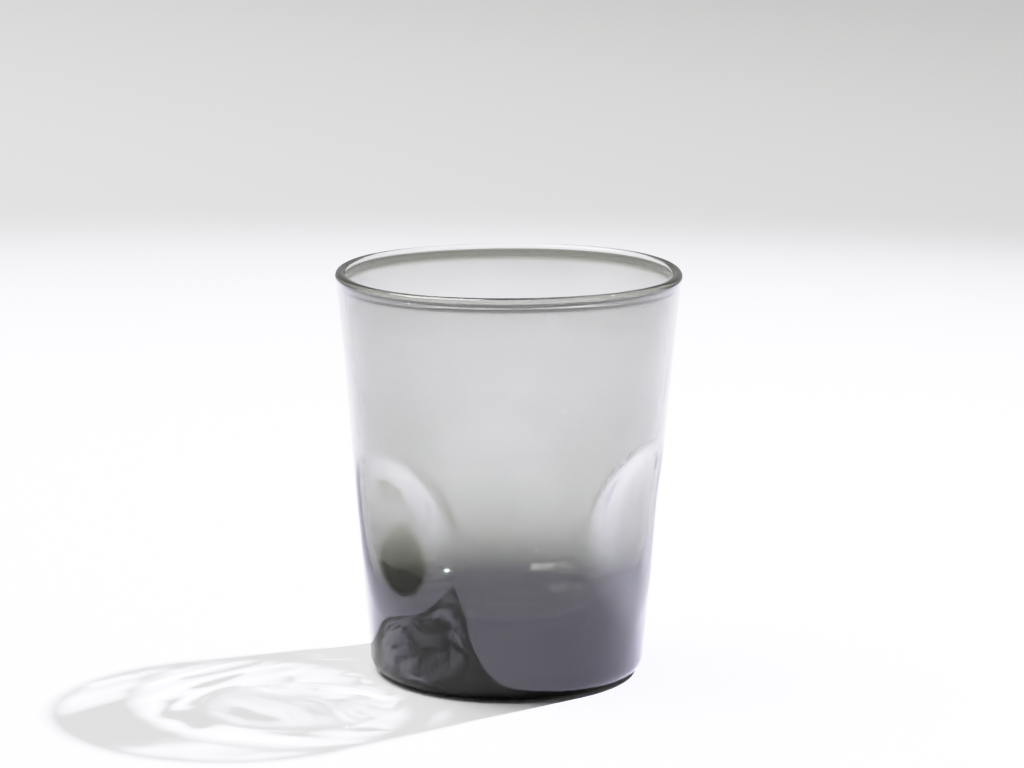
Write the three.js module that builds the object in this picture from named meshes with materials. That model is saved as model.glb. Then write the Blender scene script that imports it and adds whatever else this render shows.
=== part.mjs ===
// A hand-blown whiskey tumbler: one piece of smoke-grey glass with three finger dimples.
//
// Millimetres, +Z up. The origin is the centre of the foot, on the plane that the tumbler stands on.
// Angles round the tumbler are measured from its front, -Y, towards +X.

import * as THREE from "three";

// Driving dimensions.
const HEIGHT = 103;
const RIM_RADIUS = 43.8;
const FOOT_RADIUS = 34.9;
const RIM_WALL = 2;
const BEAD_RADIUS = 1.3;
const FLOOR_HEIGHT = 12.5;
const CORNER_RADIUS = 4;

// The underside is pushed up a little in the middle, so the tumbler stands on a flat ring.
const KICK_RADIUS = 24;
const KICK_DEPTH = 1.5;

// The dimples: three equal round hollows in the lower half, a third of a turn apart, with one at the back.
// Each is tilted, so it is deepest a little above its middle.
const DIMPLE_COUNT = 3;
const DIMPLE_HEIGHT = 42;
const DIMPLE_REACH_UP = 20;
const DIMPLE_REACH_DOWN = 26;
const DIMPLE_HALF_ANGLE = THREE.MathUtils.degToRad(34);
const DIMPLE_DEPTH = 5.5;
const DIMPLE_SOFTNESS = 1.8;
const DIMPLE_TILT = 0.7;

// The inside is a bowl, which meets the straight wall at this height and thickens downwards from there.
const BOWL_TOP = 80;
const BOWL_TAPER = 0.025;
const BOWL_WALL_PULL = 63;
const BOWL_FLOOR_PULL = 38.5;

// How finely each stretch of the outline is divided.
const ROUND_STEPS = 60;
const KICK_STEPS = 4;
const CORNER_STEPS = 5;
const PLAIN_STEPS = 3;
const DIMPLE_STEPS = 12;
const NECK_STEPS = 3;
const BEAD_STEPS = 8;
const BOWL_STEPS = 36;

// The outer wall is a straight cone from the foot's corner to the bead at the rim.
const BEAD_HEIGHT = HEIGHT - BEAD_RADIUS;
const BEAD_BULGE = BEAD_RADIUS - RIM_WALL / 2;
const NECK_LENGTH = 2.4;
const NECK_HEIGHT = BEAD_HEIGHT - NECK_LENGTH;
const WALL_SLOPE = (RIM_RADIUS - BEAD_BULGE - FOOT_RADIUS) / (BEAD_HEIGHT - CORNER_RADIUS);
const BEAD_CENTRE = RIM_RADIUS - BEAD_RADIUS;

function outerRadius(height) {
  return FOOT_RADIUS + WALL_SLOPE * (height - CORNER_RADIUS);
}

// The outline, as radius and height, runs from the middle of the underside out and up the outer wall,
// over the rim and down the inside to the middle of the floor.

function undersideOutline() {
  const outline = [];
  for (let step = 0; step < KICK_STEPS; step += 1) {
    const share = step / KICK_STEPS;
    outline.push(new THREE.Vector2(KICK_RADIUS * share, KICK_DEPTH * (1 - share ** 2) ** 2));
  }
  outline.push(new THREE.Vector2(KICK_RADIUS, 0));
  return outline;
}

function cornerOutline() {
  const outline = [];
  const start = -Math.PI / 2;
  const end = -Math.atan(WALL_SLOPE);
  for (let step = 0; step <= CORNER_STEPS; step += 1) {
    const angle = THREE.MathUtils.lerp(start, end, step / CORNER_STEPS);
    const radius = FOOT_RADIUS - CORNER_RADIUS + CORNER_RADIUS * Math.cos(angle);
    outline.push(new THREE.Vector2(radius, CORNER_RADIUS + CORNER_RADIUS * Math.sin(angle)));
  }
  return outline;
}

// Points up the wall between two heights, without the first.
function wallOutline(low, high, steps, inset) {
  const outline = [];
  for (let step = 1; step <= steps; step += 1) {
    const height = THREE.MathUtils.lerp(low, high, step / steps);
    outline.push(new THREE.Vector2(outerRadius(height) - inset, height));
  }
  return outline;
}

// The wall swells smoothly into the bead over the neck. Side is 1 outside and -1 inside.
function neckOutline(side) {
  const outline = [];
  for (let step = 1; step < NECK_STEPS; step += 1) {
    const share = step / NECK_STEPS;
    const height = NECK_HEIGHT + NECK_LENGTH * share;
    const middle = outerRadius(height) - RIM_WALL / 2;
    const swell = BEAD_BULGE * THREE.MathUtils.smoothstep(share, 0, 1);
    outline.push(new THREE.Vector2(middle + side * (RIM_WALL / 2 + swell), height));
  }
  return outline;
}

function beadOutline() {
  const outline = [];
  for (let step = 0; step <= BEAD_STEPS; step += 1) {
    const angle = Math.PI * (step / BEAD_STEPS);
    const radius = BEAD_CENTRE + BEAD_RADIUS * Math.cos(angle);
    outline.push(new THREE.Vector2(radius, BEAD_HEIGHT + BEAD_RADIUS * Math.sin(angle)));
  }
  return outline;
}

// From the top of the bowl down to the middle of the floor.
function bowlOutline() {
  const top = new THREE.Vector2(outerRadius(BOWL_TOP) - RIM_WALL, BOWL_TOP);
  const bowl = new THREE.CubicBezierCurve(
    top,
    new THREE.Vector2(top.x - (WALL_SLOPE + BOWL_TAPER) * BOWL_WALL_PULL, BOWL_TOP - BOWL_WALL_PULL),
    new THREE.Vector2(BOWL_FLOOR_PULL, FLOOR_HEIGHT),
    new THREE.Vector2(0, FLOOR_HEIGHT),
  );
  return bowl.getPoints(BOWL_STEPS);
}

function tumblerOutline() {
  const dimpleLow = DIMPLE_HEIGHT - DIMPLE_REACH_DOWN;
  const dimpleHigh = DIMPLE_HEIGHT + DIMPLE_REACH_UP;
  const corner = cornerOutline();
  const cornerTop = corner[corner.length - 1].y;
  const innerWall = wallOutline(BOWL_TOP, NECK_HEIGHT, PLAIN_STEPS, RIM_WALL);
  return [
    ...undersideOutline(),
    ...corner,
    ...wallOutline(cornerTop, dimpleLow, PLAIN_STEPS, 0),
    ...wallOutline(dimpleLow, dimpleHigh, DIMPLE_STEPS, 0),
    ...wallOutline(dimpleHigh, NECK_HEIGHT, PLAIN_STEPS, 0),
    ...neckOutline(1),
    ...beadOutline(),
    ...neckOutline(-1).reverse(),
    ...innerWall.reverse(),
    ...bowlOutline(),
  ];
}

// How far a dimple pushes the wall in, at an angle and a height.
function dimplePush(angle, height) {
  const share = (2 * Math.PI) / DIMPLE_COUNT;
  const across = (THREE.MathUtils.euclideanModulo(angle, share) - share / 2) / DIMPLE_HALF_ANGLE;
  const reach = height > DIMPLE_HEIGHT ? DIMPLE_REACH_UP : DIMPLE_REACH_DOWN;
  const up = (height - DIMPLE_HEIGHT) / reach;
  const inside = Math.max(0, 1 - across ** 2 - up ** 2);
  return DIMPLE_DEPTH * inside ** DIMPLE_SOFTNESS * (1 + DIMPLE_TILT * up);
}

// The glass is spun from its outline and then dimpled: both faces of the wall move in together.
function tumblerGeometry() {
  const geometry = new THREE.LatheGeometry(tumblerOutline(), ROUND_STEPS);
  geometry.rotateX(Math.PI / 2);
  const position = geometry.attributes.position;
  for (let index = 0; index < position.count; index += 1) {
    const x = position.getX(index);
    const y = position.getY(index);
    const radius = Math.hypot(x, y);
    const push = dimplePush(Math.atan2(x, -y), position.getZ(index));
    if (push > 0) {
      const scale = (radius - push) / radius;
      position.setXY(index, x * scale, y * scale);
    }
  }
  geometry.computeVertexNormals();
  return geometry;
}

function makeTumbler() {
  const smokeGlass = new THREE.MeshStandardMaterial({
    color: 0x8c8a96,
    roughness: 0.03,
    metalness: 0,
    transparent: true,
    opacity: 0.45,
  });
  const tumbler = new THREE.Mesh(tumblerGeometry(), smokeGlass);
  tumbler.name = "tumbler";
  return tumbler;
}

const object = new THREE.Group();
object.add(makeTumbler());

export default object;
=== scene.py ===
"""Looks for the hand-blown whiskey tumbler: smoke-grey glass on a pale studio floor.

Metres, +Z up, in the CAD model's frame. Angles round the tumbler are measured from its front, -Y,
towards +X, as in the CAD model.
"""

import bpy
import numpy as np
from mathutils import Euler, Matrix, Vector


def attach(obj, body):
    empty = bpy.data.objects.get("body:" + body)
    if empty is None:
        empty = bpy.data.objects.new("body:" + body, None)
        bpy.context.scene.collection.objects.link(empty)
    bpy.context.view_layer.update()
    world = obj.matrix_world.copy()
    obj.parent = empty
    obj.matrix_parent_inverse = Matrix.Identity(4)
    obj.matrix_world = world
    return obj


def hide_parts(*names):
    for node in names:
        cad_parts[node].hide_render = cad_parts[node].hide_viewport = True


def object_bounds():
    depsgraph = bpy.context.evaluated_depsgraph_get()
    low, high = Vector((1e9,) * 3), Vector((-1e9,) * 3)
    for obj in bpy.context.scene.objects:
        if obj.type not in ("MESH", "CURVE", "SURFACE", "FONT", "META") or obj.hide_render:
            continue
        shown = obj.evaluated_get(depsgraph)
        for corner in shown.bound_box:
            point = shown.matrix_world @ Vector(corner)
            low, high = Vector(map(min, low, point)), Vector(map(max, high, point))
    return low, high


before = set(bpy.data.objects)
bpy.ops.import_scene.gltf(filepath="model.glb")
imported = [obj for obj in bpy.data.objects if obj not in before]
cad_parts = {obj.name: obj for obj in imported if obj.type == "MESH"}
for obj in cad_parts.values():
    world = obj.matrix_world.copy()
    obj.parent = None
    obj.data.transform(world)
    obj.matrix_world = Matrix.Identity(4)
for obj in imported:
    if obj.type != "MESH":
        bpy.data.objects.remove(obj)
CAD_LOW, CAD_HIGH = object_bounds()

MM = 0.001

# ---------------------------------------------------------------------------------------------
# The tumbler's sizes. The height and the rim come from the CAD model's box.
# ---------------------------------------------------------------------------------------------

HEIGHT = CAD_HIGH.z - CAD_LOW.z
RIM_RADIUS = (CAD_HIGH.x - CAD_LOW.x) / 2
FOOT_RADIUS = 34.9 * MM
RIM_WALL = 2 * MM
BEAD_RADIUS = 1.3 * MM
FLOOR_HEIGHT = 12.5 * MM
CORNER_RADIUS = 4 * MM

# The underside is pushed up a little in the middle, so the tumbler stands on a flat ring.
KICK_RADIUS = 24 * MM
KICK_DEPTH = 1.5 * MM

# Three dimples pressed by hand into the hot wall, no two quite the same: the angle, the half width
# and the depth of each, and how softly its edge blends into the wall. All three are tilted, so they
# are deepest a little above their middles.
DIMPLES = (
    (np.radians(58), np.radians(32), 5.5 * MM, 1.4),
    (np.radians(182), np.radians(33), 5 * MM, 2.2),
    (np.radians(306), np.radians(34), 6.5 * MM, 1.9),
)
DIMPLE_HEIGHT = 42 * MM
DIMPLE_REACH_UP = 20 * MM
DIMPLE_REACH_DOWN = 26 * MM
DIMPLE_TILT = 0.7

# The inside is a bowl, which meets the straight wall at this height and thickens downwards from there.
BOWL_TOP = 80 * MM
BOWL_TAPER = 0.025
BOWL_WALL_PULL = 63 * MM
BOWL_FLOOR_PULL = 38.5 * MM

# Slight faults of hand-blown glass: a lean to the right, an oval rim and a wavy edge, all of them
# growing towards the rim, and low ripples all over, as (depth, times round, times up, twist).
LEAN = 0.6 * MM
OVAL = 0.25 * MM
OVAL_TURN = np.radians(30)
EDGE_WAVE = 0.22 * MM
EDGE_WAVES = 3
EDGE_TURN = np.radians(75)
EDGE_RISE = 4
RIPPLES = (
    (0.035 * MM, 4, 1.5, 0.4),
    (0.030 * MM, 7, -2.0, 2.1),
    (0.022 * MM, 11, 3.0, 4.0),
    (0.012 * MM, 19, -4.0, 1.2),
)
RIPPLE_START = 6 * MM

# The outer wall is a straight cone from the foot's corner to the bead at the rim.
BEAD_HEIGHT = HEIGHT - BEAD_RADIUS
BEAD_BULGE = BEAD_RADIUS - RIM_WALL / 2
NECK_LENGTH = 2.4 * MM
NECK_HEIGHT = BEAD_HEIGHT - NECK_LENGTH
WALL_SLOPE = (RIM_RADIUS - BEAD_BULGE - FOOT_RADIUS) / (BEAD_HEIGHT - CORNER_RADIUS)
BEAD_CENTRE = RIM_RADIUS - BEAD_RADIUS

# Absorption per metre in each colour is the density times what the colour lacks of 1.
GLASS_IOR = 1.52
GLASS_COLOUR = (0.352, 0.364, 0.281)
GLASS_DENSITY = 500

# Faint upright striae in the surface, and patches of very slight haze.
STRIAE_SCALE = 160
STRIAE_STRETCH = 0.12
STRIAE_DETAIL = 3
STRIAE_DEPTH = 0.04 * MM
HAZE_SCALE = 60
HAZE_LIMITS = (0.5, 0.8)
HAZE_ROUGHNESS = 0.03

# How finely the glass is divided: round it, and along each stretch of its outline.
ROUND_STEPS = 360
KICK_STEPS = 20
CORNER_STEPS = 14
WALL_STEPS = 95
NECK_STEPS = 8
BEAD_STEPS = 24
INNER_WALL_STEPS = 20
BOWL_STEPS = 86


# ---------------------------------------------------------------------------------------------
# The glass
# ---------------------------------------------------------------------------------------------

def smoothstep(share):
    """A share from 0 to 1, eased at both ends."""
    return share * share * (3 - 2 * share)


def outer_radius(height):
    """The radius of the outer wall, without its dimples."""
    return FOOT_RADIUS + WALL_SLOPE * (height - CORNER_RADIUS)


def underside_outline():
    """From the middle of the underside out to the flat ring, without its edge."""
    share = np.linspace(0, 1, KICK_STEPS, endpoint=False)
    return np.column_stack([KICK_RADIUS * share, KICK_DEPTH * (1 - share**2) ** 2])


def foot_outline():
    """The flat ring that the tumbler stands on, and the rounded corner up to the wall."""
    ring = np.array([[KICK_RADIUS, 0.0], [(KICK_RADIUS + FOOT_RADIUS - CORNER_RADIUS) / 2, 0.0]])
    angle = np.linspace(-np.pi / 2, -np.arctan(WALL_SLOPE), CORNER_STEPS)
    radius = FOOT_RADIUS - CORNER_RADIUS + CORNER_RADIUS * np.cos(angle)
    corner = np.column_stack([radius, CORNER_RADIUS + CORNER_RADIUS * np.sin(angle)])
    return np.vstack([ring, corner])


def wall_outline(low, high, steps, inset):
    """Points up the wall between two heights, without the first."""
    height = np.linspace(low, high, steps + 1)[1:]
    return np.column_stack([outer_radius(height) - inset, height])


def neck_outline(side):
    """The wall swells smoothly into the bead. Side is 1 outside and -1 inside."""
    share = np.linspace(0, 1, NECK_STEPS, endpoint=False)[1:]
    height = NECK_HEIGHT + NECK_LENGTH * share
    middle = outer_radius(height) - RIM_WALL / 2
    swell = BEAD_BULGE * smoothstep(share)
    return np.column_stack([middle + side * (RIM_WALL / 2 + swell), height])


def bead_outline():
    """Half a circle over the rim, from outside to inside."""
    angle = np.linspace(0, np.pi, BEAD_STEPS)
    radius = BEAD_CENTRE + BEAD_RADIUS * np.cos(angle)
    return np.column_stack([radius, BEAD_HEIGHT + BEAD_RADIUS * np.sin(angle)])


def bowl_outline():
    """From the top of the bowl down to the middle of the floor, as one cubic curve."""
    top = np.array([outer_radius(BOWL_TOP) - RIM_WALL, BOWL_TOP])
    pull = top - BOWL_WALL_PULL * np.array([WALL_SLOPE + BOWL_TAPER, 1.0])
    floor_pull = np.array([BOWL_FLOOR_PULL, FLOOR_HEIGHT])
    floor = np.array([0.0, FLOOR_HEIGHT])
    t = np.linspace(0, 1, BOWL_STEPS)[:, None]
    return (1 - t) ** 3 * top + 3 * (1 - t) ** 2 * t * pull + 3 * (1 - t) * t**2 * floor_pull + t**3 * floor


def tumbler_outline():
    """Radius and height, from the middle of the underside out, up, over the rim and down inside."""
    foot = foot_outline()
    foot_top = foot[-1, 1]
    return np.vstack([
        underside_outline(),
        foot,
        wall_outline(foot_top, NECK_HEIGHT, WALL_STEPS, 0),
        neck_outline(1),
        bead_outline(),
        neck_outline(-1)[::-1],
        wall_outline(BOWL_TOP, NECK_HEIGHT, INNER_WALL_STEPS, RIM_WALL)[::-1],
        bowl_outline(),
    ])


def dimple_push(angle, height):
    """How far the dimples push the wall in, at an angle and a height: deepest above their middle."""
    reach = np.where(height > DIMPLE_HEIGHT, DIMPLE_REACH_UP, DIMPLE_REACH_DOWN)
    up = (height - DIMPLE_HEIGHT) / reach
    push = np.zeros_like(angle)
    for middle, half_width, depth, softness in DIMPLES:
        across = (angle - middle) / half_width
        push += depth * np.clip(1 - across**2 - up**2, 0, None) ** softness * (1 + DIMPLE_TILT * up)
    return push


def closed_lathe(name, outline, shape):
    """A closed round mesh from an outline that starts and ends on the axis, shaped point by point."""
    rows = outline[1:-1]
    angle = np.linspace(0, 2 * np.pi, ROUND_STEPS, endpoint=False)
    radius, angles = np.meshgrid(rows[:, 0], angle, indexing="ij")
    height = np.repeat(rows[:, 1:], ROUND_STEPS, axis=1)
    ring_points = shape(radius, angles, height).reshape(-1, 3)
    ends = np.array([[0, 0, outline[0, 1]], [0, 0, outline[-1, 1]]])
    points = np.vstack([ring_points, ends])
    start, end = len(ring_points), len(ring_points) + 1
    faces = []
    for row in range(len(rows) - 1):
        low, high = row * ROUND_STEPS, (row + 1) * ROUND_STEPS
        for step in range(ROUND_STEPS):
            after = (step + 1) % ROUND_STEPS
            faces.append((low + step, low + after, high + after, high + step))
    last = (len(rows) - 1) * ROUND_STEPS
    for step in range(ROUND_STEPS):
        after = (step + 1) % ROUND_STEPS
        faces.append((start, after, step))
        faces.append((end, last + step, last + after))
    mesh = bpy.data.meshes.new(name)
    mesh.from_pydata(points.tolist(), [], faces)
    mesh.shade_smooth()
    mesh.update()
    piece = bpy.data.objects.new(name, mesh)
    bpy.context.scene.collection.objects.link(piece)
    return piece


def ripple(angle, height, radius):
    """Low ripples. The two faces of the wall differ a little, which makes faint streaks in the glass."""
    total = np.zeros_like(radius)
    for depth, times_round, times_up, twist in RIPPLES:
        phase = times_round * angle + 2 * np.pi * times_up * height / HEIGHT + twist
        total += depth * np.sin(phase + radius / FOOT_RADIUS * np.pi)
    return total * smoothstep(np.clip(height / RIPPLE_START, 0, 1))


def blown_shape(radius, angle, height):
    """Dimples the spun glass, with both faces of the wall moving in together, and adds its faults."""
    rise = height / HEIGHT
    radius = radius - dimple_push(angle, height) + ripple(angle, height, radius) * radius / FOOT_RADIUS
    radius = radius * (1 + OVAL / RIM_RADIUS * rise * np.cos(2 * (angle - OVAL_TURN)))
    lift = EDGE_WAVE * rise**EDGE_RISE * np.sin(EDGE_WAVES * angle + EDGE_TURN)
    across = radius * np.sin(angle) + LEAN * rise
    return np.stack([across, -radius * np.cos(angle), height + lift], axis=-1)


def smoke_glass_material():
    """Fire-polished glass whose body absorbs light: grey where it is thin and near black where thick.

    Its surface has faint upright striae, and is a trace less glossy in places.
    """
    material = bpy.data.materials.new("smoke_glass")
    material.use_nodes = True
    nodes = material.node_tree.nodes
    links = material.node_tree.links
    nodes.clear()
    output = nodes.new("ShaderNodeOutputMaterial")
    surface = nodes.new("ShaderNodeBsdfPrincipled")
    surface.inputs["Base Color"].default_value = (1, 1, 1, 1)
    surface.inputs["IOR"].default_value = GLASS_IOR
    surface.inputs["Transmission Weight"].default_value = 1
    links.new(surface.outputs["BSDF"], output.inputs["Surface"])
    body = nodes.new("ShaderNodeVolumeAbsorption")
    body.inputs["Color"].default_value = (*GLASS_COLOUR, 1)
    body.inputs["Density"].default_value = GLASS_DENSITY
    links.new(body.outputs["Volume"], output.inputs["Volume"])

    place = nodes.new("ShaderNodeTexCoord")
    stretch = nodes.new("ShaderNodeMapping")
    stretch.inputs["Scale"].default_value = (1, 1, STRIAE_STRETCH)
    links.new(place.outputs["Object"], stretch.inputs["Vector"])
    striae = nodes.new("ShaderNodeTexNoise")
    striae.inputs["Scale"].default_value = STRIAE_SCALE
    striae.inputs["Detail"].default_value = STRIAE_DETAIL
    links.new(stretch.outputs["Vector"], striae.inputs["Vector"])
    bump = nodes.new("ShaderNodeBump")
    bump.inputs["Distance"].default_value = STRIAE_DEPTH
    links.new(striae.outputs["Fac"], bump.inputs["Height"])
    links.new(bump.outputs["Normal"], surface.inputs["Normal"])
    haze = nodes.new("ShaderNodeTexNoise")
    haze.inputs["Scale"].default_value = HAZE_SCALE
    links.new(place.outputs["Object"], haze.inputs["Vector"])
    gloss = nodes.new("ShaderNodeMapRange")
    gloss.inputs["From Min"].default_value = HAZE_LIMITS[0]
    gloss.inputs["From Max"].default_value = HAZE_LIMITS[1]
    gloss.inputs["To Max"].default_value = HAZE_ROUGHNESS
    links.new(haze.outputs["Fac"], gloss.inputs["Value"])
    links.new(gloss.outputs["Result"], surface.inputs["Roughness"])
    return material


def make_tumbler():
    piece = closed_lathe("blown_tumbler", tumbler_outline(), blown_shape)
    piece.data.materials.append(smoke_glass_material())
    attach(piece, "root")
    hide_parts("tumbler")
    return piece


# ---------------------------------------------------------------------------------------------
# The studio
# ---------------------------------------------------------------------------------------------

# The camera stands a little to the left of the front and looks down at the tumbler.
VIEW_AZIMUTH = np.radians(-4)
VIEW_DISTANCE = 0.910
VIEW_HEIGHT = 0.256
VIEW_PITCH = np.radians(11.33)
VIEW_YAW = np.radians(0.086)
LENS = 129
SENSOR_WIDTH = 36

# The key lamp's direction from the tumbler, and the point on the floor that it is aimed at.
KEY_TOWARDS = Vector((0.5343, 0.255, 0.806))
KEY_AIM = Vector((-0.12, 0.03, 0))
KEY_DISTANCE = 3
KEY_RADIUS = 0.05
KEY_COLOUR = (1, 0.97, 1.25)
KEY_WIDTH = np.radians(29)
KEY_POWER = 1000

SOFTBOX_PLACE = Vector((-2.4, 0.8, 5))
SOFTBOX_SIZE = 3.2
SOFTBOX_POWER = 330

# The room is pale grey low down, and dark overhead and behind the camera. The fades between them are
# heights and depths on a unit sphere of directions.
BACKDROP_COLOUR = (0.53, 0.527, 0.515)
ROOM_COLOUR = (0.04, 0.04, 0.038)
BACKDROP_FADE = (0.45, 0.75)
FRONT_FADE_UP = (-0.01, 0.03)
FRONT_FADE_ROUND = (-0.2, -0.5)

# How much light is shown as how bright, where 1 is white.
TONE_WHITE = 3
TONE_POINTS = (
    (0.3, 0.3),
    (0.6, 0.585),
    (0.8, 0.725),
    (1, 0.81),
    (1.25, 0.88),
    (1.6, 0.93),
    (2, 0.963),
    (2.7, 0.998),
)

LIGHT_BOUNCES = 24
GLOSSY_BOUNCES = 12
GLOSSY_BLUR = 0.2

FLOOR_SIZE = 8
FLOOR_DROP = 0.2 * MM
# The floor's own pale colour, and the darker colour that the painted shade and the clouds mix it towards.
FLOOR_LIGHT = (0.85, 0.85, 0.85)
FLOOR_PAINTED_SHADE_AND_CLOUD = (0.66, 0.66, 0.66)
FLOOR_ROUGHNESS = 0.9

# Painted shade: the floor's colour grows darker towards the back right, standing in for the light falling
# off there, with faint random clouds in it too.
PAINTED_SHADE_TOWARDS = (0.8, 0.6, 0)
PAINTED_SHADE_FADE = (0.15, 1.6)
CLOUD_SCALE = 3
CLOUD_STRENGTH = 0.06


def make_camera():
    data = bpy.data.cameras.new("camera")
    data.lens = LENS
    data.sensor_width = SENSOR_WIDTH
    camera = bpy.data.objects.new("camera", data)
    camera.location = (
        VIEW_DISTANCE * np.sin(VIEW_AZIMUTH),
        -VIEW_DISTANCE * np.cos(VIEW_AZIMUTH),
        VIEW_HEIGHT,
    )
    camera.rotation_euler = Euler((np.pi / 2 - VIEW_PITCH, 0, VIEW_AZIMUTH - VIEW_YAW), "XYZ")
    bpy.context.scene.collection.objects.link(camera)
    bpy.context.scene.camera = camera


def make_key_light():
    """A small hard lamp far off behind the tumbler on its right, with a soft-edged cone of light."""
    data = bpy.data.lights.new("key", "SPOT")
    data.energy = KEY_POWER
    data.color = KEY_COLOUR
    data.shadow_soft_size = KEY_RADIUS
    data.spot_size = KEY_WIDTH
    data.spot_blend = 1
    data.cycles.is_caustics_light = True
    light = bpy.data.objects.new("key", data)
    light.location = KEY_TOWARDS.normalized() * KEY_DISTANCE
    light.rotation_euler = (light.location - KEY_AIM).to_track_quat("Z", "Y").to_euler()
    bpy.context.scene.collection.objects.link(light)


def make_softbox():
    """A wide soft lamp high up behind the tumbler on its left, which fills the shadow."""
    data = bpy.data.lights.new("softbox", "AREA")
    data.shape = "SQUARE"
    data.size = SOFTBOX_SIZE
    data.energy = SOFTBOX_POWER
    light = bpy.data.objects.new("softbox", data)
    light.location = SOFTBOX_PLACE
    light.rotation_euler = SOFTBOX_PLACE.to_track_quat("Z", "Y").to_euler()
    bpy.context.scene.collection.objects.link(light)


def add_fade(nodes, links, value, limits):
    """0 at the first limit, rising smoothly to 1 at the second."""
    fade = nodes.new("ShaderNodeMapRange")
    fade.interpolation_type = "SMOOTHSTEP"
    fade.inputs["From Min"].default_value = limits[0]
    fade.inputs["From Max"].default_value = limits[1]
    links.new(value, fade.inputs["Value"])
    return fade.outputs[0]


def add_math(nodes, links, operation, first, second):
    """The result of an operation on two values."""
    result = nodes.new("ShaderNodeMath")
    result.operation = operation
    links.new(first, result.inputs[0])
    links.new(second, result.inputs[1])
    return result.outputs[0]


def pale_floor_material():
    """Matt pale paper, with painted shade that darkens its colour towards the back right where the light
    falls off, and very faintly clouded.
    """
    material = bpy.data.materials.new("pale_floor")
    material.use_nodes = True
    nodes = material.node_tree.nodes
    links = material.node_tree.links
    surface = nodes["Principled BSDF"]
    surface.inputs["Roughness"].default_value = FLOOR_ROUGHNESS
    place = nodes.new("ShaderNodeTexCoord")
    painted_shade_distance = nodes.new("ShaderNodeVectorMath")
    painted_shade_distance.operation = "DOT_PRODUCT"
    painted_shade_distance.inputs[1].default_value = PAINTED_SHADE_TOWARDS
    links.new(place.outputs["Object"], painted_shade_distance.inputs[0])
    cloud = nodes.new("ShaderNodeTexNoise")
    cloud.inputs["Scale"].default_value = CLOUD_SCALE
    links.new(place.outputs["Object"], cloud.inputs["Vector"])
    painted_shade_and_cloud = nodes.new("ShaderNodeMath")
    painted_shade_and_cloud.operation = "MULTIPLY_ADD"
    painted_shade_and_cloud.inputs[1].default_value = CLOUD_STRENGTH
    links.new(cloud.outputs["Fac"], painted_shade_and_cloud.inputs[0])
    links.new(add_fade(nodes, links, painted_shade_distance.outputs["Value"], PAINTED_SHADE_FADE), painted_shade_and_cloud.inputs[2])
    # Painted shade: the pale colour is mixed towards the darker one along the fade to the back right, plus
    # faint random clouds.
    shade = nodes.new("ShaderNodeMix")
    shade.data_type = "RGBA"
    shade.inputs["A"].default_value = (*FLOOR_LIGHT, 1)
    shade.inputs["B"].default_value = (*FLOOR_PAINTED_SHADE_AND_CLOUD, 1)
    links.new(painted_shade_and_cloud.outputs[0], shade.inputs["Factor"])
    links.new(shade.outputs["Result"], surface.inputs["Base Color"])
    return material


def make_floor():
    mesh = bpy.data.meshes.new("floor")
    side = FLOOR_SIZE / 2
    corners = [(-side, -side, 0), (side, -side, 0), (side, side, 0), (-side, side, 0)]
    mesh.from_pydata(corners, [], [(0, 1, 2, 3)])
    floor = bpy.data.objects.new("floor", mesh)
    floor.location.z = -FLOOR_DROP
    mesh.materials.append(pale_floor_material())
    bpy.context.scene.collection.objects.link(floor)
    return floor


def make_world():
    """A grey backdrop low down, dark overhead, and a dark room behind the camera."""
    world = bpy.data.worlds.new("studio")
    world.use_nodes = True
    nodes = world.node_tree.nodes
    links = world.node_tree.links
    coordinate = nodes.new("ShaderNodeTexCoord")
    split = nodes.new("ShaderNodeSeparateXYZ")
    links.new(coordinate.outputs["Generated"], split.inputs[0])
    overhead = add_fade(nodes, links, split.outputs["Z"], BACKDROP_FADE)
    up = add_fade(nodes, links, split.outputs["Z"], FRONT_FADE_UP)
    round_front = add_fade(nodes, links, split.outputs["Y"], FRONT_FADE_ROUND)
    front = add_math(nodes, links, "MULTIPLY", up, round_front)
    dark = add_math(nodes, links, "MAXIMUM", overhead, front)
    shade = nodes.new("ShaderNodeMix")
    shade.data_type = "RGBA"
    shade.inputs["A"].default_value = (*BACKDROP_COLOUR, 1)
    shade.inputs["B"].default_value = (*ROOM_COLOUR, 1)
    links.new(dark, shade.inputs["Factor"])
    links.new(shade.outputs["Result"], nodes["Background"].inputs["Color"])
    bpy.context.scene.world = world


def set_up_light_paths():
    """Enough bounces for light to pass through both walls and the base, with nothing clamped."""
    scene = bpy.context.scene
    scene.view_settings.view_transform = "Standard"
    scene.cycles.use_denoising = True
    scene.cycles.max_bounces = LIGHT_BOUNCES
    scene.cycles.transmission_bounces = LIGHT_BOUNCES
    scene.cycles.glossy_bounces = GLOSSY_BOUNCES
    scene.cycles.blur_glossy = GLOSSY_BLUR
    scene.cycles.sample_clamp_indirect = 0


def set_up_tone_curve():
    """Highlights roll off softly to white, as in a camera, and darker tones stay as they are."""
    view = bpy.context.scene.view_settings
    view.use_curve_mapping = True
    mapping = view.curve_mapping
    mapping.white_level = (TONE_WHITE, TONE_WHITE, TONE_WHITE)
    combined = mapping.curves[3]
    for light, shown in TONE_POINTS:
        combined.points.new(light / TONE_WHITE, shown)
    mapping.update()


make_camera()
tumbler = make_tumbler()
make_key_light()
make_softbox()
floor = make_floor()
make_world()
set_up_light_paths()
set_up_tone_curve()

# The key light shines through the glass onto the floor.
tumbler.cycles.is_caustics_caster = True
floor.cycles.is_caustics_receiver = True
